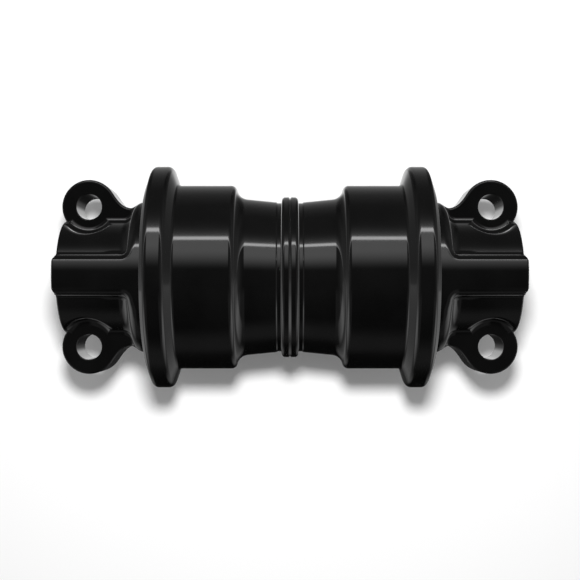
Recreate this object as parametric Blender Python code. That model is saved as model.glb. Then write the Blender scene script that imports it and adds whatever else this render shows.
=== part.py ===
"""Track roller: a welded double-flange shell turning on a fixed shaft, held by two bolt-on collars.

Metres, +Z up. The shaft lies along X and the origin is the middle of its axis. The collars' ribs and
bolt-head faces look towards +Z, and the pads that sit against the machine's frame face -Z.
Run it with: blender --background --python part.py
"""

import math

import bmesh
import bpy
from mathutils import Matrix, Vector

# Driving dimensions, in metres. An x is measured outwards from the middle of the roller.
GAP = 0.0003  # left between pieces that touch
TREAD_RADIUS = 0.0780
FLANGE_RADIUS = 0.0940
TREAD_INNER_X, TREAD_OUTER_X = 0.0457, 0.0939
TREAD_FOOT_X, TREAD_FOOT_RADIUS = 0.0436, 0.0672  # bottom of the step up to the tread
FLANGE_INNER_X = 0.0993  # where the flange's sloping flank reaches the rim
SHELL_END_X = 0.1190
FLANK_RIM_X, FLANK_FOOT_RADIUS = 0.1142, 0.0805  # the flange's outer side leans out towards its foot
WAIST_RADIUS, WAIST_X = 0.0640, 0.0116  # narrowest part of the tapered middle
GROOVE_RADIUS, GROOVE_X = 0.0633, 0.0103
WELD_BEAD = [(0.0, 0.0678), (0.0014, 0.0682), (0.0030, 0.0683), (0.0048, 0.0679), (0.0064, 0.0665)]
WELD_BEAD_X = 0.0070
CHAMBER_RADIUS = 0.0500  # oil chamber round the shaft's shoulder

SHAFT_RADIUS = 0.0325
SHAFT_END_X = 0.1905
SHAFT_CHAMFER = 0.0020
SHOULDER_RADIUS, SHOULDER_X, SHOULDER_CHAMFER = 0.0420, 0.0120, 0.0010
RUNNING_CLEARANCE = 0.0004
BUSHING_WALL = 0.0045
BUSHING_FLANGE_RADIUS, BUSHING_FLANGE_THICKNESS = 0.0450, 0.0050
BUSHING_END_X = 0.0880

COLLAR_FACE_X = 0.1203  # the disc's face towards the shell
COLLAR_END_X = 0.1913
DISC_RADIUS, DISC_OUTER_X, DISC_ROUND = 0.0643, 0.1317, 0.0062
BOSS_RADIUS, BOSS_FILLET = 0.0476, 0.0088
EDGE_CHAMFER = 0.0012
RIB_RADIUS, RIB_HALF_WIDTH, RIB_ROUND = 0.0640, 0.0163, 0.0055
LUG_FACE_Z, PAD_Z = 0.0125, -0.0278  # bolt-head face, and the pad against the machine
BOLT_X, BOLT_Y = 0.1699, 0.0592
BOLT_HOLE_RADIUS, LUG_RADIUS, SPOT_FACE_RADIUS = 0.0107, 0.0230, 0.0242
WEB_OUTER_Y, WEB_FILLET = 0.0582, 0.0135

SEAL_PLANE_X = (SHELL_END_X + COLLAR_FACE_X) / 2
SEAL_BORE_RADIUS, SEAL_FLANGE_RADIUS, SEAL_BODY_RADIUS = 0.0396, 0.0476, 0.0424
SEAL_FLANGE_THICKNESS, SEAL_LENGTH = 0.0028, 0.0088
SEAT_MOUTH_RADIUS, SEAT_FLOOR_RADIUS, SEAT_DEPTH = 0.0502, 0.0470, 0.0125
TORIC_RADIUS, TORIC_THICKNESS, TORIC_OFFSET = 0.0456, 0.0049, 0.0065

O_RING_X, O_RING_GROOVE_RADIUS, O_RING_GROOVE_WIDTH = 0.1450, 0.0293, 0.0046
O_RING_RADIUS, O_RING_THICKNESS = 0.03105, 0.0028
PIN_X, PIN_RADIUS, PIN_OUTER_Z, PIN_INNER_Z = 0.1650, 0.0060, -0.0460, -0.0140
PIN_HOLE_FLOOR_Z = -0.0130

OIL_HOLE_RADIUS, CROSS_HOLE_RADIUS = 0.0050, 0.0030
OIL_HOLE_END_X = -0.0060
PLUG_HEAD_RADIUS, PLUG_HEAD_THICKNESS, PLUG_HEAD_SINK = 0.0113, 0.0030, 0.0003
PLUG_SHANK_RADIUS, PLUG_LENGTH, PLUG_CHAMFER = 0.0080, 0.0190, 0.0008
PLUG_POCKET_RADIUS, PLUG_POCKET_DEPTH, PLUG_THREAD_DEPTH = 0.0120, 0.0051, 0.0240
PLUG_SOCKET_RADIUS, PLUG_SOCKET_DEPTH = 0.0046, 0.0060
WASHER_THICKNESS, WASHER_RADIUS = 0.0012, 0.0114

SHELL_SEGMENTS = 40
TURNED_SEGMENTS = 32
SMALL_SEGMENTS = 16
RING_SIDES = 6  # sides of a seal's or an O-ring's round section
ARC_STEP = math.radians(30)
PAST = 0.002  # how far a cutter runs past the face that it cuts
SIDES = {"left": -1, "right": 1}
EDGES = {"lower": -1, "upper": 1}  # towards -Y and towards +Y


def clear_scene():
    """Removes what the file holds, such as the startup cube."""
    for obj in list(bpy.data.objects):
        bpy.data.objects.remove(obj)


def material(name, colour, roughness, metallic):
    """A Principled material of one finish."""
    made = bpy.data.materials.new(name)
    made.use_nodes = True
    shader = made.node_tree.nodes["Principled BSDF"]
    shader.inputs["Base Color"].default_value = (*colour, 1.0)
    shader.inputs["Roughness"].default_value = roughness
    shader.inputs["Metallic"].default_value = metallic
    return made


def arc(centre, radius, start, end):
    """Points on an arc from the start angle to the end angle, both included."""
    steps = max(2, math.ceil(abs(end - start) / ARC_STEP))
    turns = [start + (end - start) * step / steps for step in range(steps + 1)]
    return [(centre[0] + radius * math.cos(t), centre[1] + radius * math.sin(t)) for t in turns]


def rounded(corners):
    """The outline through corners of (across, up, fillet), with an arc for each corner's fillet."""
    outline = []
    for index, (across, up, fillet) in enumerate(corners):
        corner = Vector((across, up))
        if not fillet:
            outline.append(tuple(corner))
            continue
        before = (Vector(corners[index - 1][:2]) - corner).normalized()
        after = (Vector(corners[(index + 1) % len(corners)][:2]) - corner).normalized()
        half = before.angle(after) / 2
        centre = corner + (before + after).normalized() * (fillet / math.sin(half))
        first = corner + before * (fillet / math.tan(half)) - centre
        last = corner + after * (fillet / math.tan(half)) - centre
        start = math.atan2(first.y, first.x)
        sweep = math.remainder(math.atan2(last.y, last.x) - start, 2 * math.pi)
        outline += arc(centre, fillet, start, start + sweep)
    return outline


def object_of(name, builder, finish=None, parent=None):
    """Makes the builder's mesh into an object with its faces pointing out."""
    bmesh.ops.remove_doubles(builder, verts=builder.verts, dist=1e-7)
    bmesh.ops.recalc_face_normals(builder, faces=builder.faces)
    mesh = bpy.data.meshes.new(name)
    builder.to_mesh(mesh)
    builder.free()
    mesh.shade_smooth()
    mesh.set_sharp_from_angle(angle=math.radians(35))
    made = bpy.data.objects.new(name, mesh)
    bpy.context.scene.collection.objects.link(made)
    if finish:
        mesh.materials.append(finish)
    made.parent = parent
    return made


def turned(name, outline, finish=None, parent=None, side=1, segments=TURNED_SEGMENTS):
    """A closed outline of (x, radius) spun round the X axis. A side of -1 mirrors it to the left."""
    builder = bmesh.new()
    points = [builder.verts.new((side * x, 0, radius)) for x, radius in outline]
    edges = []
    for index, (_, radius) in enumerate(outline):
        if radius or outline[index - 1][1]:
            edges.append(builder.edges.new((points[index - 1], points[index])))
    bmesh.ops.spin(
        builder,
        geom=points + edges,
        cent=(0, 0, 0),
        axis=(1, 0, 0),
        angle=2 * math.pi,
        steps=segments,
        use_merge=True,
    )
    return object_of(name, builder, finish, parent)


def extruded(name, outline, low, high, placing=None):
    """An outline in the XY plane raised from low to high, then moved by the placing matrix."""
    builder = bmesh.new()
    face = builder.faces.new([builder.verts.new((x, y, low)) for x, y in outline])
    raised = bmesh.ops.extrude_face_region(builder, geom=[face])["geom"]
    top = [item for item in raised if isinstance(item, bmesh.types.BMVert)]
    bmesh.ops.translate(builder, verts=top, vec=(0, 0, high - low))
    if placing:
        bmesh.ops.transform(builder, matrix=placing, verts=builder.verts)
    return object_of(name, builder)


def upright_rod(name, radius, x, y, low, high, segments, finish=None, parent=None):
    """A plain round bar along Z from low to high."""
    builder = bmesh.new()
    bmesh.ops.create_cone(
        builder,
        cap_ends=True,
        segments=segments,
        radius1=radius,
        radius2=radius,
        depth=high - low,
        matrix=Matrix.Translation((x, y, (low + high) / 2)),
    )
    return object_of(name, builder, finish, parent)


def combine(target, helper, operation):
    """Joins the helper to the target, or cuts it out, with a Boolean modifier."""
    helper.hide_render = True
    helper.display_type = "WIRE"
    modifier = target.modifiers.new(f"{operation.lower()} {helper.name}", "BOOLEAN")
    modifier.operation = operation
    modifier.object = helper
    modifier.solver = "EXACT"


def shell_half(side_name, finish, parent):
    """One forged half of the shell: weld bead, tapered waist, tread, flange, and the bores inside."""
    bore = SHAFT_RADIUS + RUNNING_CLEARANCE + BUSHING_WALL + GAP
    chamber_x = SHOULDER_X + BUSHING_FLANGE_THICKNESS + 2 * GAP
    corners = [
        (GAP / 2, CHAMBER_RADIUS, 0),
        *[(max(x, GAP / 2), radius, 0) for x, radius in WELD_BEAD],
        (WELD_BEAD_X, GROOVE_RADIUS, 0),
        (GROOVE_X, GROOVE_RADIUS, 0),
        (WAIST_X, WAIST_RADIUS, 0),
        (TREAD_FOOT_X, TREAD_FOOT_RADIUS, 0.0080),
        (TREAD_INNER_X, TREAD_RADIUS, 0.0048),
        (TREAD_OUTER_X, TREAD_RADIUS, 0.0026),
        (FLANGE_INNER_X, FLANGE_RADIUS, 0.0050),
        (FLANK_RIM_X, FLANGE_RADIUS, 0.0043),
        (SHELL_END_X, FLANK_FOOT_RADIUS, 0.0060),
        (SHELL_END_X, SEAT_MOUTH_RADIUS, 0),
        (SHELL_END_X - SEAT_DEPTH, SEAT_FLOOR_RADIUS, 0),
        (SHELL_END_X - SEAT_DEPTH, bore, 0),
        (chamber_x, bore, 0),
        (chamber_x, CHAMBER_RADIUS, 0),
    ]
    name = f"shell_half_{side_name}"
    return turned(name, rounded(corners), finish, parent, SIDES[side_name], SHELL_SEGMENTS)


def bushing(side_name, finish, parent):
    """The flanged bearing bush pressed into one shell half. Its flange takes the side load."""
    inner = SHAFT_RADIUS + RUNNING_CLEARANCE
    outer = inner + BUSHING_WALL
    start = SHOULDER_X + GAP
    flange_back = start + BUSHING_FLANGE_THICKNESS
    outline = [
        (start, inner),
        (start, BUSHING_FLANGE_RADIUS),
        (flange_back, BUSHING_FLANGE_RADIUS),
        (flange_back, outer),
        (BUSHING_END_X, outer),
        (BUSHING_END_X, inner),
    ]
    return turned(f"bushing_{side_name}", outline, finish, parent, SIDES[side_name])


def ring(name, x, radius, thickness, finish, parent, side):
    """A rubber ring of round section."""
    turns = [2 * math.pi * step / RING_SIDES for step in range(RING_SIDES)]
    half = thickness / 2
    section = [(x + half * math.cos(turn), radius + half * math.sin(turn)) for turn in turns]
    return turned(name, section, finish, parent, side)


def face_seal(side_name, role, metal, rubber, parent):
    """One metal face ring and its rubber toric. The two roles mirror each other across the seal plane."""
    away = 1 if role == "fixed" else -1
    front = GAP / 2
    shape = [
        (front, SEAL_BORE_RADIUS),
        (front, SEAL_FLANGE_RADIUS),
        (front + SEAL_FLANGE_THICKNESS, SEAL_FLANGE_RADIUS),
        (front + SEAL_FLANGE_THICKNESS + 0.0014, SEAL_BODY_RADIUS + 0.0010),
        (front + SEAL_LENGTH, SEAL_BODY_RADIUS),
        (front + SEAL_LENGTH, SEAL_BORE_RADIUS),
    ]
    outline = [(SEAL_PLANE_X + away * distance, radius) for distance, radius in shape]
    side = SIDES[side_name]
    turned(f"{role}_seal_ring_{side_name}", outline, metal, parent, side)
    toric_x = SEAL_PLANE_X + away * (front + TORIC_OFFSET)
    name = f"{role}_seal_toric_{side_name}"
    ring(name, toric_x, TORIC_RADIUS, TORIC_THICKNESS, rubber, parent, side)


def pin_hole_cutter(name, side, top_z):
    """The radial hole for a retaining pin, from outside the boss up to top_z."""
    low = -BOSS_RADIUS - PAST
    return upright_rod(name, PIN_RADIUS + GAP, side * PIN_X, 0, low, top_z, SMALL_SEGMENTS)


def shaft(finish, parent):
    """The fixed shaft: thrust shoulder, O-ring grooves, pin holes, oil holes and the plug's pocket."""
    groove_in = O_RING_X - O_RING_GROOVE_WIDTH / 2
    groove_out = O_RING_X + O_RING_GROOVE_WIDTH / 2
    right = [
        (SHOULDER_X - SHOULDER_CHAMFER, SHOULDER_RADIUS),
        (SHOULDER_X, SHOULDER_RADIUS - SHOULDER_CHAMFER),
        (SHOULDER_X, SHAFT_RADIUS),
        (groove_in, SHAFT_RADIUS),
        (groove_in, O_RING_GROOVE_RADIUS),
        (groove_out, O_RING_GROOVE_RADIUS),
        (groove_out, SHAFT_RADIUS),
        (SHAFT_END_X - SHAFT_CHAMFER, SHAFT_RADIUS),
        (SHAFT_END_X, SHAFT_RADIUS - SHAFT_CHAMFER),
        (SHAFT_END_X, 0),
    ]
    left = [(-x, radius) for x, radius in reversed(right)]
    made = turned("shaft", left + right, finish, parent)

    thread_end = SHAFT_END_X - PLUG_THREAD_DEPTH
    pocket_floor = SHAFT_END_X - PLUG_POCKET_DEPTH
    oilway = [
        (OIL_HOLE_END_X, 0),
        (OIL_HOLE_END_X, OIL_HOLE_RADIUS),
        (thread_end, OIL_HOLE_RADIUS),
        (thread_end, PLUG_SHANK_RADIUS + GAP),
        (pocket_floor, PLUG_SHANK_RADIUS + GAP),
        (pocket_floor, PLUG_POCKET_RADIUS),
        (SHAFT_END_X + PAST, PLUG_POCKET_RADIUS),
        (SHAFT_END_X + PAST, 0),
    ]
    combine(made, turned("oilway_cutter", oilway, segments=SMALL_SEGMENTS), "DIFFERENCE")
    reach = SHOULDER_RADIUS + PAST
    cross = upright_rod("cross_hole_cutter", CROSS_HOLE_RADIUS, 0, 0, -reach, reach, SMALL_SEGMENTS)
    combine(made, cross, "DIFFERENCE")
    for side_name, side in SIDES.items():
        cutter = pin_hole_cutter(f"shaft_pin_cutter_{side_name}", side, PIN_HOLE_FLOOR_Z)
        combine(made, cutter, "DIFFERENCE")


def rib(side):
    """The strip along the collar, whose crown lies close to the disc's radius."""
    edge_z = math.sqrt(RIB_RADIUS**2 - RIB_HALF_WIDTH**2)
    foot_z = BOSS_RADIUS - 0.012
    corners = [
        (-RIB_HALF_WIDTH, foot_z, 0),
        (RIB_HALF_WIDTH, foot_z, 0),
        (RIB_HALF_WIDTH, edge_z, RIB_ROUND),
        (0, RIB_RADIUS, 0.0450),
        (-RIB_HALF_WIDTH, edge_z, RIB_ROUND),
    ]
    # the outline's two directions become Y and Z, and its depth becomes X
    lying = Matrix(((0, 0, 1, 0), (1, 0, 0, 0), (0, 1, 0, 0), (0, 0, 0, 1)))
    ends = sorted((side * (COLLAR_FACE_X + 0.006), side * COLLAR_END_X))
    return extruded(f"rib_helper_{side}", rounded(corners), *ends, placing=lying)


def web_outline(side, edge):
    """The neck that joins a lug to the disc: straight, then swept out to the lug's circle."""
    sweep_y = WEB_OUTER_Y + WEB_FILLET
    sweep_x = BOLT_X - math.sqrt((LUG_RADIUS + WEB_FILLET) ** 2 - (sweep_y - BOLT_Y) ** 2)
    to_lug = math.atan2(BOLT_Y - sweep_y, BOLT_X - sweep_x)
    root_y = BOSS_RADIUS - 0.015
    outline = [
        (COLLAR_FACE_X + 0.006, root_y),
        (COLLAR_FACE_X + 0.006, WEB_OUTER_Y),
        *arc((sweep_x, sweep_y), WEB_FILLET, -math.pi / 2, to_lug),
        (BOLT_X, BOLT_Y),
        (BOLT_X, root_y),
    ]
    return [(side * x, edge * y) for x, y in outline]


def collar_bore(name, side):
    """What is taken out of the middle of a collar: the seal's conical seat and the shaft's bore."""
    bore = SHAFT_RADIUS + GAP
    slope = (SEAT_FLOOR_RADIUS - SEAT_MOUTH_RADIUS) / SEAT_DEPTH
    outline = [
        (COLLAR_FACE_X - PAST, 0),
        (COLLAR_FACE_X - PAST, SEAT_MOUTH_RADIUS - slope * PAST),
        (COLLAR_FACE_X + SEAT_DEPTH, SEAT_FLOOR_RADIUS),
        (COLLAR_FACE_X + SEAT_DEPTH, bore),
        (COLLAR_END_X + PAST, bore),
        (COLLAR_END_X + PAST, 0),
    ]
    return turned(name, outline, side=side)


def collar(side_name, finish, parent):
    """One cast end collar: disc and round boss, rib, two bolt lugs on necks, and every bore in it."""
    side = SIDES[side_name]
    body = [
        (COLLAR_FACE_X, 0, 0),
        (COLLAR_FACE_X, DISC_RADIUS - EDGE_CHAMFER, 0),
        (COLLAR_FACE_X + EDGE_CHAMFER, DISC_RADIUS, 0),
        (DISC_OUTER_X, DISC_RADIUS, DISC_ROUND),
        (DISC_OUTER_X, BOSS_RADIUS, BOSS_FILLET),
        (COLLAR_END_X - EDGE_CHAMFER, BOSS_RADIUS, 0),
        (COLLAR_END_X, BOSS_RADIUS - EDGE_CHAMFER, 0),
        (COLLAR_END_X, 0, 0),
    ]
    made = turned(f"collar_{side_name}", rounded(body), finish, parent, side, SHELL_SEGMENTS)
    combine(made, rib(side), "UNION")
    for edge_name, edge in EDGES.items():
        corner = f"{side_name}_{edge_name}"
        x, y = side * BOLT_X, edge * BOLT_Y
        web = extruded(f"web_helper_{corner}", web_outline(side, edge), PAD_Z, LUG_FACE_Z)
        combine(made, web, "UNION")
        lug = upright_rod(f"lug_helper_{corner}", LUG_RADIUS, x, y, PAD_Z, LUG_FACE_Z, 32)
        combine(made, lug, "UNION")
    for edge_name, edge in EDGES.items():
        corner = f"{side_name}_{edge_name}"
        x, y = side * BOLT_X, edge * BOLT_Y
        over = BOSS_RADIUS + PAST
        spot = upright_rod(f"spot_cutter_{corner}", SPOT_FACE_RADIUS, x, y, LUG_FACE_Z, over, 32)
        combine(made, spot, "DIFFERENCE")
        low, high = PAD_Z - PAST, LUG_FACE_Z + PAST
        hole = upright_rod(f"bolt_cutter_{corner}", BOLT_HOLE_RADIUS, x, y, low, high, 24)
        combine(made, hole, "DIFFERENCE")
    combine(made, collar_bore(f"bore_cutter_{side_name}", side), "DIFFERENCE")
    pin_hole = pin_hole_cutter(f"collar_pin_cutter_{side_name}", side, -SHAFT_RADIUS + PAST)
    combine(made, pin_hole, "DIFFERENCE")


def oil_plug(finish, parent):
    """The filler plug in the shaft's right end, with a hexagon socket."""
    head_out = SHAFT_END_X - PLUG_HEAD_SINK
    head_in = head_out - PLUG_HEAD_THICKNESS
    tip = head_out - PLUG_LENGTH
    outline = [
        (tip, 0),
        (tip, PLUG_SHANK_RADIUS - PLUG_CHAMFER),
        (tip + PLUG_CHAMFER, PLUG_SHANK_RADIUS),
        (head_in, PLUG_SHANK_RADIUS),
        (head_in, PLUG_HEAD_RADIUS),
        (head_out - PLUG_CHAMFER, PLUG_HEAD_RADIUS),
        (head_out, PLUG_HEAD_RADIUS - PLUG_CHAMFER),
        (head_out, 0),
    ]
    made = turned("oil_plug", outline, finish, parent, segments=SMALL_SEGMENTS)
    socket = [
        (head_out - PLUG_SOCKET_DEPTH, 0),
        (head_out - PLUG_SOCKET_DEPTH, PLUG_SOCKET_RADIUS),
        (head_out + PAST, PLUG_SOCKET_RADIUS),
        (head_out + PAST, 0),
    ]
    combine(made, turned("socket_cutter", socket, segments=6), "DIFFERENCE")


def plug_washer(finish, parent):
    """The sealing washer under the plug's head."""
    outer_face = SHAFT_END_X - PLUG_HEAD_SINK - PLUG_HEAD_THICKNESS - GAP
    inner_face = outer_face - WASHER_THICKNESS
    inner = PLUG_SHANK_RADIUS + GAP
    outline = [
        (inner_face, inner),
        (inner_face, WASHER_RADIUS),
        (outer_face, WASHER_RADIUS),
        (outer_face, inner),
    ]
    turned("plug_washer", outline, finish, parent, segments=SMALL_SEGMENTS)


def retaining_pin(side_name, finish, parent):
    """The dowel that locks a collar to the shaft, driven in from the pad side."""
    upright_rod(
        f"retaining_pin_{side_name}",
        PIN_RADIUS,
        SIDES[side_name] * PIN_X,
        0,
        PIN_OUTER_Z,
        PIN_INNER_Z,
        SMALL_SEGMENTS,
        finish,
        parent,
    )


def empty(name):
    """A holder at the origin, on the roller's axis."""
    made = bpy.data.objects.new(name, None)
    bpy.context.scene.collection.objects.link(made)
    return made


def main():
    clear_scene()
    paint = material("black_paint", (0.005, 0.005, 0.005), 0.15, 0.0)
    steel = material("machined_steel", (0.45, 0.45, 0.46), 0.30, 1.0)
    bronze = material("bearing_bronze", (0.52, 0.32, 0.14), 0.35, 1.0)
    seal_steel = material("lapped_steel", (0.58, 0.58, 0.60), 0.15, 1.0)
    rubber = material("seal_rubber", (0.012, 0.012, 0.012), 0.60, 0.0)
    copper = material("copper", (0.72, 0.35, 0.20), 0.30, 1.0)

    turning = empty("turning_on_the_axis")
    fixed = empty("fixed_to_the_machine")
    shaft(steel, fixed)
    oil_plug(steel, fixed)
    plug_washer(copper, fixed)
    for side_name, side in SIDES.items():
        shell_half(side_name, paint, turning)
        bushing(side_name, bronze, turning)
        face_seal(side_name, "rotating", seal_steel, rubber, turning)
        face_seal(side_name, "fixed", seal_steel, rubber, fixed)
        collar(side_name, paint, fixed)
        o_ring = f"shaft_o_ring_{side_name}"
        ring(o_ring, O_RING_X, O_RING_RADIUS, O_RING_THICKNESS, rubber, fixed, side)
        retaining_pin(side_name, steel, fixed)


main()
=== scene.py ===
"""Looks of the track roller: finished surfaces, paint and metals, floor, light and camera.

Shapes are worked out in millimetres and become metres (MM) when their mesh is made. Light, camera
and floor are in metres. x is measured outwards from the middle of the roller, and the left side
is a mirror image of the right.
"""

import math

import bmesh
import bpy
import numpy as np
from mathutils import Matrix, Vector


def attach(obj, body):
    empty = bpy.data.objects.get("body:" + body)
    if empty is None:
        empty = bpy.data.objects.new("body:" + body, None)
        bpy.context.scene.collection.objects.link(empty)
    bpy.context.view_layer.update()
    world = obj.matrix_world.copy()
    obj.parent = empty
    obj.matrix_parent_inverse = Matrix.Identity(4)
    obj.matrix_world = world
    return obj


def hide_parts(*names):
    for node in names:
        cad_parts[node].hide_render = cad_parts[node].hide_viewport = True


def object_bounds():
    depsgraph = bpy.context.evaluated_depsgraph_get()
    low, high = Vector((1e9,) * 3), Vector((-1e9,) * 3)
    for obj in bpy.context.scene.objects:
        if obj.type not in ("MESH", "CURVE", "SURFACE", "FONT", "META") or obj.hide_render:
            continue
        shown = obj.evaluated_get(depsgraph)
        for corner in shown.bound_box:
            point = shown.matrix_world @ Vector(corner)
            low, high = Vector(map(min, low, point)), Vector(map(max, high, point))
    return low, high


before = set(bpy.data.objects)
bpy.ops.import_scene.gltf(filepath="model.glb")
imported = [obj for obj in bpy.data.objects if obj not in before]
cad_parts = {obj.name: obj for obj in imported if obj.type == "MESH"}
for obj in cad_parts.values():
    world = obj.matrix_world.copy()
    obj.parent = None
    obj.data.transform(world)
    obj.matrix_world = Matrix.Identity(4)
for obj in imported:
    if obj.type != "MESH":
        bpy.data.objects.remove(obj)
CAD_BOX = [list(corner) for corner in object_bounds()]

MM = 0.001
SIDES = {"left": -1, "right": 1}
SEGMENTS = 256
INNER_SEGMENTS, SHAFT_SEGMENTS, PIN_SEGMENTS, HELPER_SEGMENTS = 96, 128, 64, 48
ARC_STEP = math.radians(6)
NET_STEP = 0.8  # spacing of the collar's surface points
SHARP_ANGLE = math.radians(25)
FAR_AWAY = 400  # a distance that takes a shape out of play

# Shell, from the middle outwards
JOINT_GAP = 0.005  # half of the hairline between the welded halves
BEAD_RADIUS, BEAD_OUTER, BEAD_GROOVE_RADIUS, BEAD_GROOVE_OUTER = 68.3, 6.7, 67.2, 1.1
BEAD_FOOT_RADIUS, BEAD_FOOT_INNER, BEAD_FOOT_OUTER = 63.3, 7.2, 10.4
WAIST_INNER, WAIST_INNER_RADIUS, WAIST_OUTER, WAIST_OUTER_RADIUS = 11.4, 64.0, 43.6, 67.2
TREAD_INNER, TREAD_OUTER, TREAD_RADIUS = 45.7, 93.9, 78.0
FLANGE_INNER, FLANGE_RADIUS = 99.3, 94.0
FLANK_RIM, FLANK_FOOT = 114.2, 80.5  # the flange's outer side leans out towards its foot
SHELL_END = 119.0
SEAT_MOUTH, SEAT_FLOOR, SEAT_DEPTH = 50.2, 47.0, 12.5
SHELL_BORE = 37.7
CHAMBER_RADIUS, CHAMBER_X = 50.0, 17.6

# Bearing bush
BUSH_BORE, BUSH_RADIUS, BUSH_FLANGE_RADIUS = 32.9, 37.4, 45.0
BUSH_INNER, BUSH_FLANGE, BUSH_OUTER = 12.3, 17.3, 88.0

# Collar: disc, boss and rib
COLLAR_FACE, COLLAR_END, COLLAR_BORE = 120.3, 191.3, 32.8
DISC_RADIUS, DISC_OUTER = 64.0, 131.7
DISC_FADE = 144, 156  # in x, where the larger roundings near the disc fade out
BOSS_RADIUS, BOSS_FILLET = 47.6, 8.8
RIB_HALF_WIDTH, RIB_BOTTOM = 16.3, 20
RIB_FOOT, RIB_FOOT_MORE = 3.0, 1.5  # a larger foot near the disc
CROWN_ROUND, CROWN_ROUND_MORE = 5.5, 2.5  # the same for the rim that rib and disc share
CROWN_FREE = 18, 30  # across, where the disc's rim is clear of the rib
END_ROUND = 1.4
RIB_CORNER_ROUND, RIB_CORNER_Z, RIB_CORNER_X = 6.5, (48, 51), (178, 184)

# Collar: lugs
LUG_FACE, PAD = 12.5, -27.8
BOLT_X, BOLT_Y, BOLT_HOLE, LUG_RADIUS = 169.9, 59.2, 10.7, 22.95
WEB_X, WEB_Y, WEB_SWEEP = 158, 58.2, 13.5
LUG_ROOT, LUG_ROUND = 30, 1.8
LUG_FILLET, LUG_FILLET_LESS, LUG_FILLET_FADE = 4.0, 3.0, (180, 188)
SPOT_RADIUS, SPOT_FILLET = 24.2, 7.4
SPOT_SHARP, SPOT_RIM, SPOT_RIM_Z = 0.01, 1.8, (15, 19)

# Retaining pin, and the hole it sits in
PIN_X, PIN_RADIUS, PIN_CLEARANCE = 165.0, 6.0, 0.3
PIN_LOW, PIN_HIGH = -46.0, -14.0
PIN_HOLE_LOW, PIN_HOLE_HIGH = -50, -13.0

# Shaft, from the middle outwards
SHAFT_RADIUS, SHAFT_END = 32.5, 190.5
SHOULDER_X, SHOULDER_RADIUS = 12.0, 42.0
GROOVE_INNER, GROOVE_OUTER, GROOVE_FLOOR = 142.7, 147.3, 29.3
GALLERY_RADIUS, GALLERY_END = 5.0, -6.0
CROSS_HOLE_RADIUS, CROSS_HOLE_REACH = 3.0, 44
THREAD_RADIUS, THREAD_END = 8.3, 166.5
PLUG_SEAT_RADIUS, PLUG_SEAT_X = 12.0, 185.4
PAINTED_END = 2.5  # how far the paint reaches along the shaft's ends

# Oil plug and its washer
PLUG_RADIUS, PLUG_HEAD_RADIUS = 8.0, 11.3
PLUG_END, PLUG_HEAD_X, PLUG_TOP = 171.2, 187.2, 190.2
SOCKET_RADIUS, SOCKET_LENGTH = 4.6, 12
WASHER_RADIUS, WASHER_INNER, WASHER_OUTER = 11.4, 185.7, 186.9

# Seals
SEAL_PLANE = (SHELL_END + COLLAR_FACE) / 2
FACE_RING = [  # (distance from the seal plane, radius, fillet)
    (0.15, 39.6, 0.4),
    (0.15, 47.6, 0.4),
    (2.95, 47.6, 0.8),
    (4.35, 43.4, 0.8),
    (8.95, 42.4, 0.6),
    (8.95, 39.6, 0.6),
]
TORIC_X, TORIC_RADIUS, TORIC_THICKNESS = 6.65, 45.6, 4.9
O_RING_X, O_RING_RADIUS, O_RING_THICKNESS = 145.0, 31.05, 2.8

# Floor, lamp and camera, in metres
FLOOR_GAP, FLOOR_REACH = 0.0005, 6.0
CAMERA_PLACE, CAMERA_LENS, CAMERA_SENSOR, CAMERA_SHIFT = (0, -0.0320, 0.943), 68.3, 36.0, 0.0426
LAMP_PLACE, LAMP_SIZE, LAMP_POWER = (0, 0.148, 0.943), 0.13, 10.5


# Turned shapes ------------------------------------------------------------------------------


def rounded(corners):
    """Points (x, radius, arc) through corners of (x, radius, fillet).

    arc is the centre of the fillet's arc, or None where the corner is sharp.
    """
    points = []
    for index, (x, radius, fillet) in enumerate(corners):
        corner = Vector((x, radius))
        if not fillet:
            points.append((x, radius, None))
            continue
        before = (Vector(corners[index - 1][:2]) - corner).normalized()
        after = (Vector(corners[(index + 1) % len(corners)][:2]) - corner).normalized()
        half = before.angle(after) / 2
        centre = corner + (before + after).normalized() * (fillet / math.sin(half))
        first = corner + before * (fillet / math.tan(half)) - centre
        last = corner + after * (fillet / math.tan(half)) - centre
        start = math.atan2(first.y, first.x)
        sweep = math.remainder(math.atan2(last.y, last.x) - start, 2 * math.pi)
        steps = max(3, math.ceil(abs(sweep) / ARC_STEP))
        for step in range(steps + 1):
            turn = start + sweep * step / steps
            place = (centre.x + fillet * math.cos(turn), centre.y + fillet * math.sin(turn))
            points.append((*place, tuple(centre)))
    return points


def profile_normals(first, second, outwards):
    """The outward normals at both ends of one piece of the profile."""
    along = Vector((second[0] - first[0], second[1] - first[1])).normalized()
    straight = Vector((along.y, -along.x)) * outwards
    if first[2] is None or first[2] != second[2]:
        return straight, straight
    ends = []
    for point in (first, second):
        away = (Vector(point[:2]) - Vector(point[2])).normalized()
        ends.append(away if away.dot(straight) > 0 else -away)
    return ends


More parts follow.
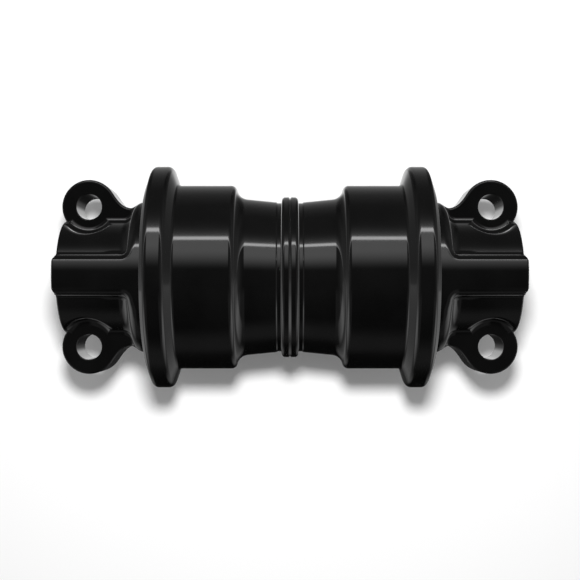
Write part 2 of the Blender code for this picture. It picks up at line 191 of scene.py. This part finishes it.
def turned_mesh(name, corners, side=1, segments=SEGMENTS):
    """A profile in millimetres spun round the X axis, shaded with the profile's true normals."""
    points = rounded(corners)
    area = sum(a[0] * b[1] - b[0] * a[1] for a, b in zip(points, points[1:] + points[:1]))
    outwards = 1 if area > 0 else -1
    turns = [2 * math.pi * step / segments for step in range(segments)]
    vertices, rings = [], []
    for x, radius, _ in points:
        on_axis = radius < 1e-6
        rings.append((len(vertices), on_axis))
        for turn in turns[: 1 if on_axis else segments]:
            place = (side * x, radius * math.cos(turn), radius * math.sin(turn))
            vertices.append([MM * value for value in place])
    faces, normals = [], []
    for index in range(len(points)):
        other = (index + 1) % len(points)
        (start_a, axis_a), (start_b, axis_b) = rings[index], rings[other]
        if axis_a and axis_b:
            continue
        normal_a, normal_b = profile_normals(points[index], points[other], outwards)
        for step in range(segments):
            after = (step + 1) % segments
            loop = [(start_a, axis_a, step, normal_a), (start_b, axis_b, step, normal_b)]
            loop += [(start_b, axis_b, after, normal_b), (start_a, axis_a, after, normal_a)]
            face, shades = [], []
            for start, on_axis, turn_index, normal in loop:
                vertex = start if on_axis else start + turn_index
                if vertex in face:
                    continue
                turn = turns[turn_index]
                face.append(vertex)
                shades.append(
                    (side * normal.x, normal.y * math.cos(turn), normal.y * math.sin(turn))
                )
            if outwards * side < 0:
                face.reverse()
                shades.reverse()
            faces.append(face)
            normals += shades
    mesh = bpy.data.meshes.new(name)
    mesh.from_pydata(vertices, [], faces)
    mesh.shade_smooth()
    mesh.normals_split_custom_set(normals)
    return mesh


def piece(name, mesh, material, body, nodes):
    """A finished object that rides on a body and stands for CAD nodes."""
    made = bpy.data.objects.new(name, mesh)
    bpy.context.scene.collection.objects.link(made)
    mesh.materials.append(material)
    made.visible_glossy = False  # the paint mirrors the studio's panels, not its neighbours
    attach(made, body)
    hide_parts(*nodes)
    return made


# The collar as an implicit surface ----------------------------------------------------------


def join(a, b, radius):
    """Union of two distance fields, with a concave fillet of that radius."""
    u, v = np.maximum(radius - a, 0), np.maximum(radius - b, 0)
    return np.maximum(radius, np.minimum(a, b)) - np.sqrt(u * u + v * v)


def common(a, b, radius):
    """Intersection of two distance fields, with a rounded edge of that radius."""
    u, v = np.maximum(radius + a, 0), np.maximum(radius + b, 0)
    return np.minimum(-radius, np.maximum(a, b)) + np.sqrt(u * u + v * v)


def smooth_step(value, low, high):
    """0 below low, 1 above high, and a smooth rise between them."""
    share = np.clip((value - low) / (high - low), 0, 1)
    return share * share * (3 - 2 * share)


def collar_field(x, y, z):
    """Signed distance from the right collar's surface."""
    across = np.abs(y)
    radius = np.sqrt(y * y + z * z)
    to_bolt = np.sqrt((x - BOLT_X) ** 2 + (across - BOLT_Y) ** 2)

    # the boss flares out to the disc, and disc and rib are joined before their shared crown is cut
    near_disc = 1 - smooth_step(x, *DISC_FADE)
    flare = join(radius - BOSS_RADIUS, x - DISC_OUTER, BOSS_FILLET)
    rib = np.maximum(across - RIB_HALF_WIDTH, RIB_BOTTOM - z)
    field = join(flare, rib, RIB_FOOT + RIB_FOOT_MORE * near_disc)
    free_rim = near_disc * smooth_step(across, *CROWN_FREE)
    field = common(field, radius - DISC_RADIUS, CROWN_ROUND + CROWN_ROUND_MORE * free_rim)
    field = common(field, x - COLLAR_END, END_ROUND)
    on_rib_end = smooth_step(z, *RIB_CORNER_Z) * smooth_step(x, *RIB_CORNER_X)
    rib_corners = common(across - RIB_HALF_WIDTH, x - COLLAR_END, RIB_CORNER_ROUND)
    field = np.maximum(field, rib_corners - FAR_AWAY * (1 - on_rib_end))

    web = np.maximum(across - WEB_Y, x - WEB_X)
    plan = join(to_bolt - LUG_RADIUS, web, WEB_SWEEP)
    middle, half = (LUG_FACE + PAD) / 2, (LUG_FACE - PAD) / 2
    lugs = common(plan, np.abs(z - middle) - half, LUG_ROUND)
    lugs = np.maximum(lugs, LUG_ROOT - across)
    field = join(field, lugs, LUG_FILLET - LUG_FILLET_LESS * smooth_step(x, *LUG_FILLET_FADE))

    # the spot face is level with the lug, so only its rim is rounded
    spot = common(to_bolt - SPOT_RADIUS, LUG_FACE - z, SPOT_FILLET)
    field = common(field, -spot, SPOT_SHARP + SPOT_RIM * smooth_step(z, *SPOT_RIM_Z))
    field = common(field, BOLT_HOLE - to_bolt, 0.5)
    field = common(field, COLLAR_FACE - x, 1.0)

    seat = SEAT_MOUTH + (SEAT_FLOOR - SEAT_MOUTH) * (x - COLLAR_FACE) / SEAT_DEPTH
    seat_cut = np.maximum(radius - seat, x - COLLAR_FACE - SEAT_DEPTH)
    field = common(field, -seat_cut, 0.8)
    field = common(field, COLLAR_BORE - radius, 1.0)
    pin_hole = np.maximum(np.hypot(x - PIN_X, y) - PIN_RADIUS - PIN_CLEARANCE, z)
    return common(field, -pin_hole, 0.7)


def gradient(field, points, reach=0.01):
    """The field's slope at each point."""
    slopes = []
    for axis in range(3):
        offset = np.zeros(3)
        offset[axis] = reach
        slopes.append(field(*(points + offset).T) - field(*(points - offset).T))
    return np.stack(slopes, axis=1) / (2 * reach)


def onto_surface(field, points, rounds):
    """The points moved along the field's slope until they lie on the surface."""
    for _ in range(rounds):
        slope = gradient(field, points)
        length = np.maximum((slope * slope).sum(axis=1), 0.05)
        points = points - slope * (field(*points.T) / length)[:, None]
    return points


def surface_net(field, low, high, step):
    """Points and quads where the field crosses zero, from a grid of that spacing."""
    axes = [np.arange(low[i], high[i] + step, step) for i in range(3)]
    values = field(*np.meshgrid(*axes, indexing="ij"))
    inside = values < 0
    cells = tuple(size - 1 for size in values.shape)
    corner_steps = [(i, j, k) for i in (0, 1) for j in (0, 1) for k in (0, 1)]

    def corner(array, steps):
        return array[tuple(slice(s, s + n) for s, n in zip(steps, cells))]

    filled = sum(corner(inside, steps).astype(np.int8) for steps in corner_steps)
    active = (filled > 0) & (filled < 8)
    number = np.full(cells, -1)
    number[active] = np.arange(active.sum())
    where = np.argwhere(active)

    total = np.zeros((len(where), 3))
    crossings = np.zeros(len(where))
    for first in corner_steps:
        for axis in range(3):
            if first[axis]:
                continue
            second = tuple(s + (i == axis) for i, s in enumerate(first))
            a, b = corner(values, first)[active], corner(values, second)[active]
            crossed = (a < 0) != (b < 0)
            share = np.where(crossed, a / np.where(crossed, a - b, 1), 0)
            place = np.tile(np.array(first, float), (len(where), 1))
            place[:, axis] += share
            total += place * crossed[:, None]
            crossings += crossed
    grid_low = np.array([axis[0] for axis in axes])
    points = grid_low + step * (where + total / crossings[:, None])

    quads = []
    for axis in range(3):
        one, two = (axis + 1) % 3, (axis + 2) % 3
        here = [slice(None)] * 3
        there = [slice(None)] * 3
        here[axis], there[axis] = slice(0, -1), slice(1, None)
        starts_inside = inside[tuple(here)]
        edges = np.argwhere(starts_inside != inside[tuple(there)])
        kept = (edges[:, one] > 0) & (edges[:, two] > 0)
        kept &= (edges[:, one] < cells[one]) & (edges[:, two] < cells[two])
        edges = edges[kept]
        around = []
        for back_one, back_two in ((1, 1), (0, 1), (0, 0), (1, 0)):
            cell = edges.copy()
            cell[:, one] -= back_one
            cell[:, two] -= back_two
            around.append(number[tuple(cell.T)])
        around = np.stack(around, axis=1)
        turned_round = ~starts_inside[tuple(edges.T)]
        around[turned_round] = around[turned_round][:, ::-1]
        quads.append(around)
    return points, np.concatenate(quads)


def evened(field, points, quads, rounds=3):
    """The points spread evenly over the surface, without leaving it."""
    for _ in range(rounds):
        total, count = np.zeros_like(points), np.zeros(len(points))
        for near, far in ((0, 1), (1, 2), (2, 3), (3, 0)):
            np.add.at(total, quads[:, near], points[quads[:, far]])
            np.add.at(total, quads[:, far], points[quads[:, near]])
            np.add.at(count, quads[:, near], 1)
            np.add.at(count, quads[:, far], 1)
        points = onto_surface(field, (points + total / count[:, None]) / 2, 2)
    return points


def collar_meshes():
    """The cast collar's mesh for each side."""
    low = (COLLAR_FACE - 2, -BOLT_Y - LUG_RADIUS - 3, -DISC_RADIUS - 3)
    high = (BOLT_X + LUG_RADIUS + 2, BOLT_Y + LUG_RADIUS + 3, DISC_RADIUS + 3)
    points, quads = surface_net(collar_field, low, high, NET_STEP)
    points = onto_surface(collar_field, points, 4)
    points = onto_surface(collar_field, evened(collar_field, points, quads), 3)
    slope = gradient(collar_field, points)
    shades = slope / np.linalg.norm(slope, axis=1)[:, None]
    meshes = {}
    for side_name, side in SIDES.items():
        mirror = np.array([side, 1, 1])
        mesh = bpy.data.meshes.new(f"cast_collar_{side_name}")
        faces = quads if side > 0 else quads[:, ::-1]
        mesh.from_pydata((points * mirror * MM).tolist(), [], faces.tolist())
        mesh.shade_smooth()
        mesh.normals_split_custom_set_from_vertices((shades * mirror).tolist())
        meshes[side_name] = mesh
    return meshes


# Materials ----------------------------------------------------------------------------------


NOISE_DETAIL, BUMP_STRENGTH = 4.0, 0.35
COLOUR_NOISE, ROUGHNESS_NOISE = (0.35, 0.65), (0.3, 0.7)  # the noise's useful range


def finish(name, colours, roughness, metallic, grain, bump, settings=None):
    """A Principled material whose colour, roughness and surface vary with noise.

    colours and roughness are (low, high), grain is the noise's (coarse, fine) scale in 1/m, and
    bump is the height of the fine grain in metres. settings go straight onto the shader.
    """
    made = bpy.data.materials.new(name)
    made.use_nodes = True
    nodes, links = made.node_tree.nodes, made.node_tree.links
    shader = nodes["Principled BSDF"]
    shader.inputs["Metallic"].default_value = metallic
    for socket, value in (settings or {}).items():
        shader.inputs[socket].default_value = value
    place = nodes.new("ShaderNodeTexCoord")
    noises = []
    for scale in grain:
        noise = nodes.new("ShaderNodeTexNoise")
        noise.inputs["Scale"].default_value = scale
        noise.inputs["Detail"].default_value = NOISE_DETAIL
        links.new(place.outputs["Object"], noise.inputs["Vector"])
        noises.append(noise)
    coarse, fine = noises
    ramp = nodes.new("ShaderNodeValToRGB")
    for element, position, colour in zip(ramp.color_ramp.elements, COLOUR_NOISE, colours):
        element.position = position
        element.color = (*colour, 1.0)
    links.new(coarse.outputs["Fac"], ramp.inputs["Fac"])
    links.new(ramp.outputs["Color"], shader.inputs["Base Color"])
    spread = nodes.new("ShaderNodeMapRange")
    spread.inputs["From Min"].default_value = ROUGHNESS_NOISE[0]
    spread.inputs["From Max"].default_value = ROUGHNESS_NOISE[1]
    spread.inputs["To Min"].default_value = roughness[0]
    spread.inputs["To Max"].default_value = roughness[1]
    links.new(coarse.outputs["Fac"], spread.inputs["Value"])
    links.new(spread.outputs["Result"], shader.inputs["Roughness"])
    surface = nodes.new("ShaderNodeBump")
    surface.inputs["Strength"].default_value = BUMP_STRENGTH
    surface.inputs["Distance"].default_value = bump
    links.new(fine.outputs["Fac"], surface.inputs["Height"])
    links.new(surface.outputs["Normal"], shader.inputs["Normal"])
    return made


PAINT = finish(
    "gloss_black_paint",
    colours=((0.0019, 0.0019, 0.0019), (0.0027, 0.0027, 0.0027)),
    roughness=(0.055, 0.085),
    metallic=0.0,
    grain=(35.0, 420.0),
    bump=0.00001,
    settings={"IOR": 1.5},
)
STEEL = finish(
    "machined_steel",
    colours=((0.36, 0.36, 0.37), (0.50, 0.50, 0.51)),
    roughness=(0.24, 0.36),
    metallic=1.0,
    grain=(60.0, 1500.0),
    bump=0.00002,
)
BRONZE = finish(
    "bearing_bronze",
    colours=((0.44, 0.27, 0.12), (0.56, 0.35, 0.16)),
    roughness=(0.28, 0.40),
    metallic=1.0,
    grain=(70.0, 1500.0),
    bump=0.00002,
)
LAPPED = finish(
    "lapped_steel",
    colours=((0.52, 0.52, 0.54), (0.60, 0.60, 0.62)),
    roughness=(0.10, 0.18),
    metallic=1.0,
    grain=(50.0, 2000.0),
    bump=0.000005,
)
RUBBER = finish(
    "seal_rubber",
    colours=((0.010, 0.010, 0.010), (0.018, 0.018, 0.018)),
    roughness=(0.50, 0.65),
    metallic=0.0,
    grain=(90.0, 1200.0),
    bump=0.00004,
)
COPPER = finish(
    "copper",
    colours=((0.62, 0.28, 0.15), (0.76, 0.38, 0.22)),
    roughness=(0.22, 0.38),
    metallic=1.0,
    grain=(80.0, 1400.0),
    bump=0.00001,
)


# Pieces -------------------------------------------------------------------------------------


def shell_half(side_name, side):
    """One forged half of the shell, painted outside."""
    corners = [
        (JOINT_GAP, CHAMBER_RADIUS, 0),
        (JOINT_GAP, BEAD_GROOVE_RADIUS, 0),
        (BEAD_GROOVE_OUTER, BEAD_RADIUS, 1.1),
        (BEAD_OUTER, BEAD_RADIUS, 3.0),
        (BEAD_FOOT_INNER, BEAD_FOOT_RADIUS, 0.7),
        (BEAD_FOOT_OUTER, BEAD_FOOT_RADIUS, 0.6),
        (WAIST_INNER, WAIST_INNER_RADIUS, 0.8),
        (WAIST_OUTER, WAIST_OUTER_RADIUS, 10.0),
        (TREAD_INNER, TREAD_RADIUS, 4.8),
        (TREAD_OUTER, TREAD_RADIUS, 3.0),
        (FLANGE_INNER, FLANGE_RADIUS, 5.0),
        (FLANK_RIM, FLANGE_RADIUS, 4.3),
        (SHELL_END, FLANK_FOOT, 6.0),
        (SHELL_END, SEAT_MOUTH, 1.0),
        (SHELL_END - SEAT_DEPTH, SEAT_FLOOR, 0.8),
        (SHELL_END - SEAT_DEPTH, SHELL_BORE, 0.8),
        (CHAMBER_X, SHELL_BORE, 0),
        (CHAMBER_X, CHAMBER_RADIUS, 0),
    ]
    name = f"forged_shell_{side_name}"
    mesh = turned_mesh(name, corners, side)
    piece(name, mesh, PAINT, "shell", [f"shell_half_{side_name}"])


def collar(side_name, mesh):
    """A cast end collar, painted all over."""
    name = f"cast_collar_{side_name}"
    piece(name, mesh, PAINT, "fixed_frame", [f"collar_{side_name}"])


def bushing(side_name, side):
    """The flanged bearing bush."""
    corners = [
        (BUSH_INNER, BUSH_BORE, 0.6),
        (BUSH_INNER, BUSH_FLANGE_RADIUS, 0.8),
        (BUSH_FLANGE, BUSH_FLANGE_RADIUS, 0.5),
        (BUSH_FLANGE, BUSH_RADIUS, 0.5),
        (BUSH_OUTER, BUSH_RADIUS, 0.8),
        (BUSH_OUTER, BUSH_BORE, 0.8),
    ]
    name = f"bearing_bush_{side_name}"
    mesh = turned_mesh(name, corners, side, INNER_SEGMENTS)
    piece(name, mesh, BRONZE, "shell", [f"bushing_{side_name}"])


def round_section(x, radius, thickness):
    """The corners of a ring's section, rounded until it is a circle."""
    half = thickness / 2
    fillet = half * 0.98
    ends = [(-half, -half), (-half, half), (half, half), (half, -half)]
    return [(x + across, radius + up, fillet) for across, up in ends]


def face_seal(side_name, side, role, body):
    """A metal face ring and its rubber toric."""
    away = 1 if role == "fixed" else -1
    corners = [(SEAL_PLANE + away * x, radius, fillet) for x, radius, fillet in FACE_RING]
    name = f"face_ring_{role}_{side_name}"
    mesh = turned_mesh(name, corners, side, INNER_SEGMENTS)
    piece(name, mesh, LAPPED, body, [f"{role}_seal_ring_{side_name}"])
    name = f"rubber_toric_{role}_{side_name}"
    section = round_section(SEAL_PLANE + away * TORIC_X, TORIC_RADIUS, TORIC_THICKNESS)
    mesh = turned_mesh(name, section, side, INNER_SEGMENTS)
    piece(name, mesh, RUBBER, body, [f"{role}_seal_toric_{side_name}"])


def bar_along_z(name, radius, length, segments):
    """A bar centred on the origin, used once to cut a hole."""
    builder = bmesh.new()
    bmesh.ops.create_cone(
        builder, cap_ends=True, segments=segments, radius1=radius * MM, radius2=radius * MM,
        depth=length * MM,
    )
    mesh = bpy.data.meshes.new(name)
    builder.to_mesh(mesh)
    builder.free()
    made = bpy.data.objects.new(name, mesh)
    bpy.context.scene.collection.objects.link(made)
    return made


def cut(made, helpers):
    """Cuts the helpers from the object, keeps the result as its mesh and removes them."""
    for helper in helpers:
        modifier = made.modifiers.new(helper.name, "BOOLEAN")
        modifier.operation = "DIFFERENCE"
        modifier.object = helper
        modifier.solver = "EXACT"
    bpy.context.view_layer.update()
    graph = bpy.context.evaluated_depsgraph_get()
    result = bpy.data.meshes.new_from_object(made.evaluated_get(graph))
    made.modifiers.clear()
    made.data = result
    for helper in helpers:
        bpy.data.objects.remove(helper)
    result.shade_smooth()
    result.set_sharp_from_angle(angle=SHARP_ANGLE)


def shaft():
    """The fixed shaft. Its end faces were painted with the rest of the roller."""
    corners = [
        (-SHAFT_END, 0, 0),
        (-SHAFT_END, SHAFT_RADIUS, 1.8),
        (-GROOVE_OUTER, SHAFT_RADIUS, 0.3),
        (-GROOVE_OUTER, GROOVE_FLOOR, 0.4),
        (-GROOVE_INNER, GROOVE_FLOOR, 0.4),
        (-GROOVE_INNER, SHAFT_RADIUS, 0.3),
        (-SHOULDER_X, SHAFT_RADIUS, 0.5),
        (-SHOULDER_X, SHOULDER_RADIUS, 0.9),
        (SHOULDER_X, SHOULDER_RADIUS, 0.9),
        (SHOULDER_X, SHAFT_RADIUS, 0.5),
        (GROOVE_INNER, SHAFT_RADIUS, 0.3),
        (GROOVE_INNER, GROOVE_FLOOR, 0.4),
        (GROOVE_OUTER, GROOVE_FLOOR, 0.4),
        (GROOVE_OUTER, SHAFT_RADIUS, 0.3),
        (SHAFT_END, SHAFT_RADIUS, 1.8),
        (SHAFT_END, PLUG_SEAT_RADIUS, 0.5),
        (PLUG_SEAT_X, PLUG_SEAT_RADIUS, 0.4),
        (PLUG_SEAT_X, THREAD_RADIUS, 0),
        (THREAD_END, THREAD_RADIUS, 0),
        (THREAD_END, GALLERY_RADIUS, 0),
        (GALLERY_END, GALLERY_RADIUS, 0),
        (GALLERY_END, 0, 0),
    ]
    mesh = turned_mesh("ground_shaft", corners, 1, SHAFT_SEGMENTS)
    made = piece("ground_shaft", mesh, STEEL, "fixed_frame", ["shaft"])
    hole_radius = PIN_RADIUS + PIN_CLEARANCE
    holes = [(hole_radius, side * PIN_X, PIN_HOLE_LOW, PIN_HOLE_HIGH) for side in SIDES.values()]
    holes.append((CROSS_HOLE_RADIUS, 0, -CROSS_HOLE_REACH, CROSS_HOLE_REACH))
    helpers = []
    for index, (radius, x, low, high) in enumerate(holes):
        helper = bar_along_z(f"helper_{index}", radius, high - low, HELPER_SEGMENTS)
        helper.location = (x * MM, 0, (low + high) / 2 * MM)
        helpers.append(helper)
    cut(made, helpers)
    made.data.materials.clear()
    made.data.materials.append(STEEL)
    made.data.materials.append(PAINT)
    for face in made.data.polygons:
        at_end = abs(face.center.x) > (SHAFT_END - PAINTED_END) * MM
        outside_seat = face.center.yz.length > (PLUG_SEAT_RADIUS - 0.1) * MM
        face.material_index = 1 if at_end and outside_seat else 0


def oil_plug():
    """The filler plug with its hexagon socket, and the washer under its head."""
    corners = [
        (PLUG_END, 0, 0),
        (PLUG_END, PLUG_RADIUS, 0.8),
        (PLUG_HEAD_X, PLUG_RADIUS, 0.3),
        (PLUG_HEAD_X, PLUG_HEAD_RADIUS, 0.4),
        (PLUG_TOP, PLUG_HEAD_RADIUS, 0.8),
        (PLUG_TOP, 0, 0),
    ]
    mesh = turned_mesh("filler_plug", corners, 1, INNER_SEGMENTS)
    made = piece("filler_plug", mesh, PAINT, "fixed_frame", ["oil_plug"])
    socket = bar_along_z("helper_socket", SOCKET_RADIUS, SOCKET_LENGTH, 6)
    socket.rotation_euler = (0, math.pi / 2, 0)
    socket.location = (PLUG_TOP * MM, 0, 0)
    cut(made, [socket])

    corners = [
        (WASHER_INNER, THREAD_RADIUS, 0.2),
        (WASHER_INNER, WASHER_RADIUS, 0.3),
        (WASHER_OUTER, WASHER_RADIUS, 0.3),
        (WASHER_OUTER, THREAD_RADIUS, 0.2),
    ]
    mesh = turned_mesh("sealing_washer", corners, 1, INNER_SEGMENTS)
    piece("sealing_washer", mesh, COPPER, "fixed_frame", ["plug_washer"])


def o_ring(side_name, side):
    """The O-ring between the shaft and a collar."""
    name = f"rubber_o_ring_{side_name}"
    section = round_section(O_RING_X, O_RING_RADIUS, O_RING_THICKNESS)
    mesh = turned_mesh(name, section, side, INNER_SEGMENTS)
    piece(name, mesh, RUBBER, "fixed_frame", [f"shaft_o_ring_{side_name}"])


def retaining_pin(side_name, side):
    """The dowel pin, with rounded ends. It is turned along X and then stood up along Z."""
    corners = [
        (PIN_LOW, 0, 0),
        (PIN_LOW, PIN_RADIUS, 0.9),
        (PIN_HIGH, PIN_RADIUS, 0.9),
        (PIN_HIGH, 0, 0),
    ]
    name = f"dowel_pin_{side_name}"
    mesh = turned_mesh(name, corners, 1, PIN_SEGMENTS)
    for vertex in mesh.vertices:
        along, y, up = vertex.co
        vertex.co = (side * PIN_X * MM - up, y, along)
    mesh.shade_smooth()
    mesh.set_sharp_from_angle(angle=SHARP_ANGLE)
    piece(name, mesh, STEEL, "fixed_frame", [f"retaining_pin_{side_name}"])


shaft()
oil_plug()
collars = collar_meshes()
for side_name, side in SIDES.items():
    shell_half(side_name, side)
    bushing(side_name, side)
    face_seal(side_name, side, "rotating", "shell")
    face_seal(side_name, side, "fixed", "fixed_frame")
    o_ring(side_name, side)
    retaining_pin(side_name, side)
    collar(side_name, collars[side_name])


# Floor, light and camera --------------------------------------------------------------------


def pale_floor():
    """A plain pale floor under the roller, left out of its reflections."""
    builder = bmesh.new()
    bmesh.ops.create_grid(builder, x_segments=8, y_segments=8, size=FLOOR_REACH)
    mesh = bpy.data.meshes.new("pale_floor")
    builder.to_mesh(mesh)
    builder.free()
    floor = bpy.data.objects.new("pale_floor", mesh)
    floor.location = (0, 0, CAD_BOX[0][2] - FLOOR_GAP)
    bpy.context.scene.collection.objects.link(floor)
    material = bpy.data.materials.new("pale_floor")
    material.use_nodes = True
    shader = material.node_tree.nodes["Principled BSDF"]
    shader.inputs["Base Color"].default_value = (0.9, 0.9, 0.9, 1)
    shader.inputs["Roughness"].default_value = 0.9
    shader.inputs["Specular IOR Level"].default_value = 0.0
    mesh.materials.append(material)
    floor.visible_glossy = False


# The studio that the paint mirrors. Angles go round the roller in degrees, from the floor side
# (-180) past -Y (-90), overhead (0) and +Y (90). A pair is where a light is dark and fully lit.
DARK_LEVEL = 0.005  # what is left where nothing shines
PANEL_EDGE, PANEL_END, PANEL_LIGHT = (7, 33), (51, 50), 1.58  # one soft edge and one sharp
STRIP_START, STRIP_END, STRIP_LIGHT = (44.2, 45.6), (49.8, 48.2), 7.0
PAST_PANEL = (50, 51)
HALO_REACH, HALO_LIGHT = 5, 0.97  # fades away past the panel's sharp edge
CEILING_START, CEILING_END, CEILING_LIGHT, WALL_LIGHT = (-50, 5), (122, 98), 0.025, 0.05
NEAR_START, NEAR_END, NEAR_LIGHT = (-118, -94), (-63, -87), 0.09  # a faint glow towards -Y
UNDER_EDGE, UNDER_REACH, UNDER_LIGHT = -177, 5, 0.075  # a last glow from below
BEHIND_START, BEHIND_LIGHT = (98, 152), 0.34  # the floor beyond the roller, on the +Y side
BEHIND_PEAK, BEHIND_END, BEHIND_PEAK_LIGHT = (154, 172), (183, 172), 0.55
LOW_LIGHT, FRONT_LIGHT = 0.24, 0.16
LOW_Y, LOW_Z = (0.06, -0.02), (-0.5, -0.75)  # y or z at which it is dark and fully lit
FRONT_Y, FRONT_Z = (-0.25, -0.45), (0.05, 0.25)
# Each table is (where, how bright). Up and down (z), and across (y), with -1 to 1 as 0 to 1:
RING_BY_Z = [(0.0, 0.0), (0.18, 0.0), (0.28, 1.0), (0.55, 1.0), (0.62, 0.0), (1.0, 0.0)]
RING_BY_Y = [
    (0.0, 1.2), (0.275, 1.2), (0.40, 0.30), (0.455, 0.25), (0.485, 0.08), (0.53, 0.0), (1.0, 0.0),
]
# Off to the sides, by the size of x:
SIDE_GLOW = [(0.0, 0.0), (0.4, 0.0), (0.5, 0.02), (0.74, 0.08), (0.9, 0.20), (1.0, 0.25)]
BEHIND_SPAN = [
    (0.0, 1.0), (0.15, 1.0), (0.22, 0.5), (0.29, 0.27), (0.46, 0.14), (0.68, 0.035), (1.0, 0.0),
]
LOW_SPAN = [
    (0.0, 0.0), (0.16, 0.0), (0.30, 0.88), (0.40, 0.82), (0.48, 0.68), (0.60, 0.54), (0.73, 0.50),
    (0.84, 1.8), (1.0, 1.8),
]
PANEL_SPAN = [(0.0, 1.0), (0.25, 1.0), (0.32, 0.10), (0.5, 0.04), (1.0, 0.0)]
STRIP_SPAN = [(0.0, 1.0), (0.27, 1.0), (0.36, 0.45), (0.7, 0.30), (1.0, 0.20)]
RING_SPAN = [(0.0, 0.0), (0.45, 0.04), (0.7, 0.55), (0.9, 1.1), (1.0, 1.4)]
EVEN_LIGHT = 0.40  # what the floor and the rough surfaces are lit by


def studio_world():
    """Soft panels for the paint to reflect, and an even pale surround for everything else."""
    world = bpy.data.worlds.new("studio")
    bpy.context.scene.world = world
    world.use_nodes = True
    nodes, links = world.node_tree.nodes, world.node_tree.links
    nodes.clear()

    def calculated(operation, first, second=None):
        node = nodes.new("ShaderNodeMath")
        node.operation = operation
        for socket, value in zip(node.inputs, (first, second)):
            if isinstance(value, (int, float)):
                socket.default_value = value
            elif value is not None:
                links.new(value, socket)
        return node.outputs[0]

    def by_table(value, stops):
        node = nodes.new("ShaderNodeValToRGB")
        elements = node.color_ramp.elements
        while len(elements) < len(stops):
            elements.new(0.5)
        for element, (position, grey) in zip(elements, stops):
            element.position = position
            element.color = (grey, grey, grey, 1)
        links.new(value, node.inputs["Fac"])
        return node.outputs["Color"]

    def rise(value, dark, lit, interpolation="LINEAR"):
        node = nodes.new("ShaderNodeMapRange")
        node.interpolation_type = interpolation
        node.inputs["From Min"].default_value = dark
        node.inputs["From Max"].default_value = lit
        links.new(value, node.inputs["Value"])
        return node.outputs["Result"]

    def product(first, *others):
        for other in others:
            first = calculated("MULTIPLY", first, other)
        return first

    def soft(value, dark, lit):
        return rise(value, dark, lit, "SMOOTHSTEP")

    def fading(value, start, reach):
        return calculated(
            "EXPONENT", calculated("DIVIDE", calculated("SUBTRACT", start, value), reach)
        )

    def background(strength=1.0):
        node = nodes.new("ShaderNodeBackground")
        node.inputs["Color"].default_value = (1, 1, 1, 1)
        node.inputs["Strength"].default_value = strength
        return node

    def chosen(factor, otherwise, when_true):
        node = nodes.new("ShaderNodeMixShader")
        for socket, output in zip(node.inputs, (factor, otherwise, when_true)):
            links.new(output, socket)
        return node.outputs[0]

    place = nodes.new("ShaderNodeTexCoord")
    parts = nodes.new("ShaderNodeSeparateXYZ")
    links.new(place.outputs["Generated"], parts.inputs[0])
    x, y, z = parts.outputs
    turn = calculated("DEGREES", calculated("ARCTAN2", y, z))
    up = calculated("ADD", calculated("MULTIPLY", z, 0.5), 0.5)
    across = calculated("ADD", calculated("MULTIPLY", y, 0.5), 0.5)
    aside = calculated("ABSOLUTE", x)

    panel = product(soft(turn, *PANEL_EDGE), rise(turn, *PANEL_END), PANEL_LIGHT)
    strip = product(rise(turn, *STRIP_START), rise(turn, *STRIP_END), STRIP_LIGHT)
    past_panel = rise(turn, *PAST_PANEL)
    ceiling_end = rise(turn, *CEILING_END)
    behind = calculated(
        "ADD",
        product(rise(turn, *BEHIND_START), BEHIND_LIGHT),
        product(soft(turn, *BEHIND_PEAK), BEHIND_PEAK_LIGHT),
    )
    behind = product(behind, soft(turn, *BEHIND_END))
    ring = product(by_table(up, RING_BY_Z), by_table(across, RING_BY_Y))
    low = product(rise(y, *LOW_Y), rise(z, *LOW_Z), LOW_LIGHT)
    front = product(rise(y, *FRONT_Y), rise(z, *FRONT_Z), FRONT_LIGHT)
    low_span = by_table(aside, LOW_SPAN)
    light = calculated("ADD", by_table(aside, SIDE_GLOW), DARK_LEVEL)
    for glow in (
        product(past_panel, fading(turn, PAST_PANEL[1], HALO_REACH), HALO_LIGHT),
        product(past_panel, ceiling_end, WALL_LIGHT),
        product(rise(turn, *CEILING_START), ceiling_end, CEILING_LIGHT),
        product(soft(turn, *NEAR_START), soft(turn, *NEAR_END), NEAR_LIGHT),
        product(fading(turn, UNDER_EDGE, UNDER_REACH), UNDER_LIGHT),
        product(behind, by_table(aside, BEHIND_SPAN)),
        product(low, low_span),
        product(front, low_span),
        product(panel, by_table(aside, PANEL_SPAN)),
        product(strip, by_table(aside, STRIP_SPAN)),
        product(ring, by_table(aside, RING_SPAN)),
    ):
        light = calculated("ADD", light, glow)

    mirrored = background()
    links.new(light, mirrored.inputs["Color"])
    ray = nodes.new("ShaderNodeLightPath")
    lit = chosen(
        ray.outputs["Is Glossy Ray"], background(EVEN_LIGHT).outputs[0], mirrored.outputs[0]
    )
    seen = chosen(ray.outputs["Is Camera Ray"], lit, background().outputs[0])
    output = nodes.new("ShaderNodeOutputWorld")
    links.new(seen, output.inputs["Surface"])


def key_light():
    """A round lamp as high as the camera, which throws the soft shadow towards -Y."""
    light = bpy.data.lights.new("key", "AREA")
    light.shape = "DISK"
    light.size = LAMP_SIZE
    light.energy = LAMP_POWER
    key = bpy.data.objects.new("key", light)
    key.location = LAMP_PLACE
    key.visible_glossy = False
    bpy.context.scene.collection.objects.link(key)


def camera():
    """Straight down on the bolt-head side, from a little towards -Y, with the frame shifted."""
    data = bpy.data.cameras.new("camera")
    data.lens = CAMERA_LENS
    data.sensor_width = CAMERA_SENSOR
    data.shift_y = CAMERA_SHIFT
    made = bpy.data.objects.new("camera", data)
    made.location = CAMERA_PLACE
    bpy.context.scene.collection.objects.link(made)
    bpy.context.scene.camera = made


pale_floor()
studio_world()
key_light()
camera()
bpy.context.scene.view_settings.view_transform = "Standard"
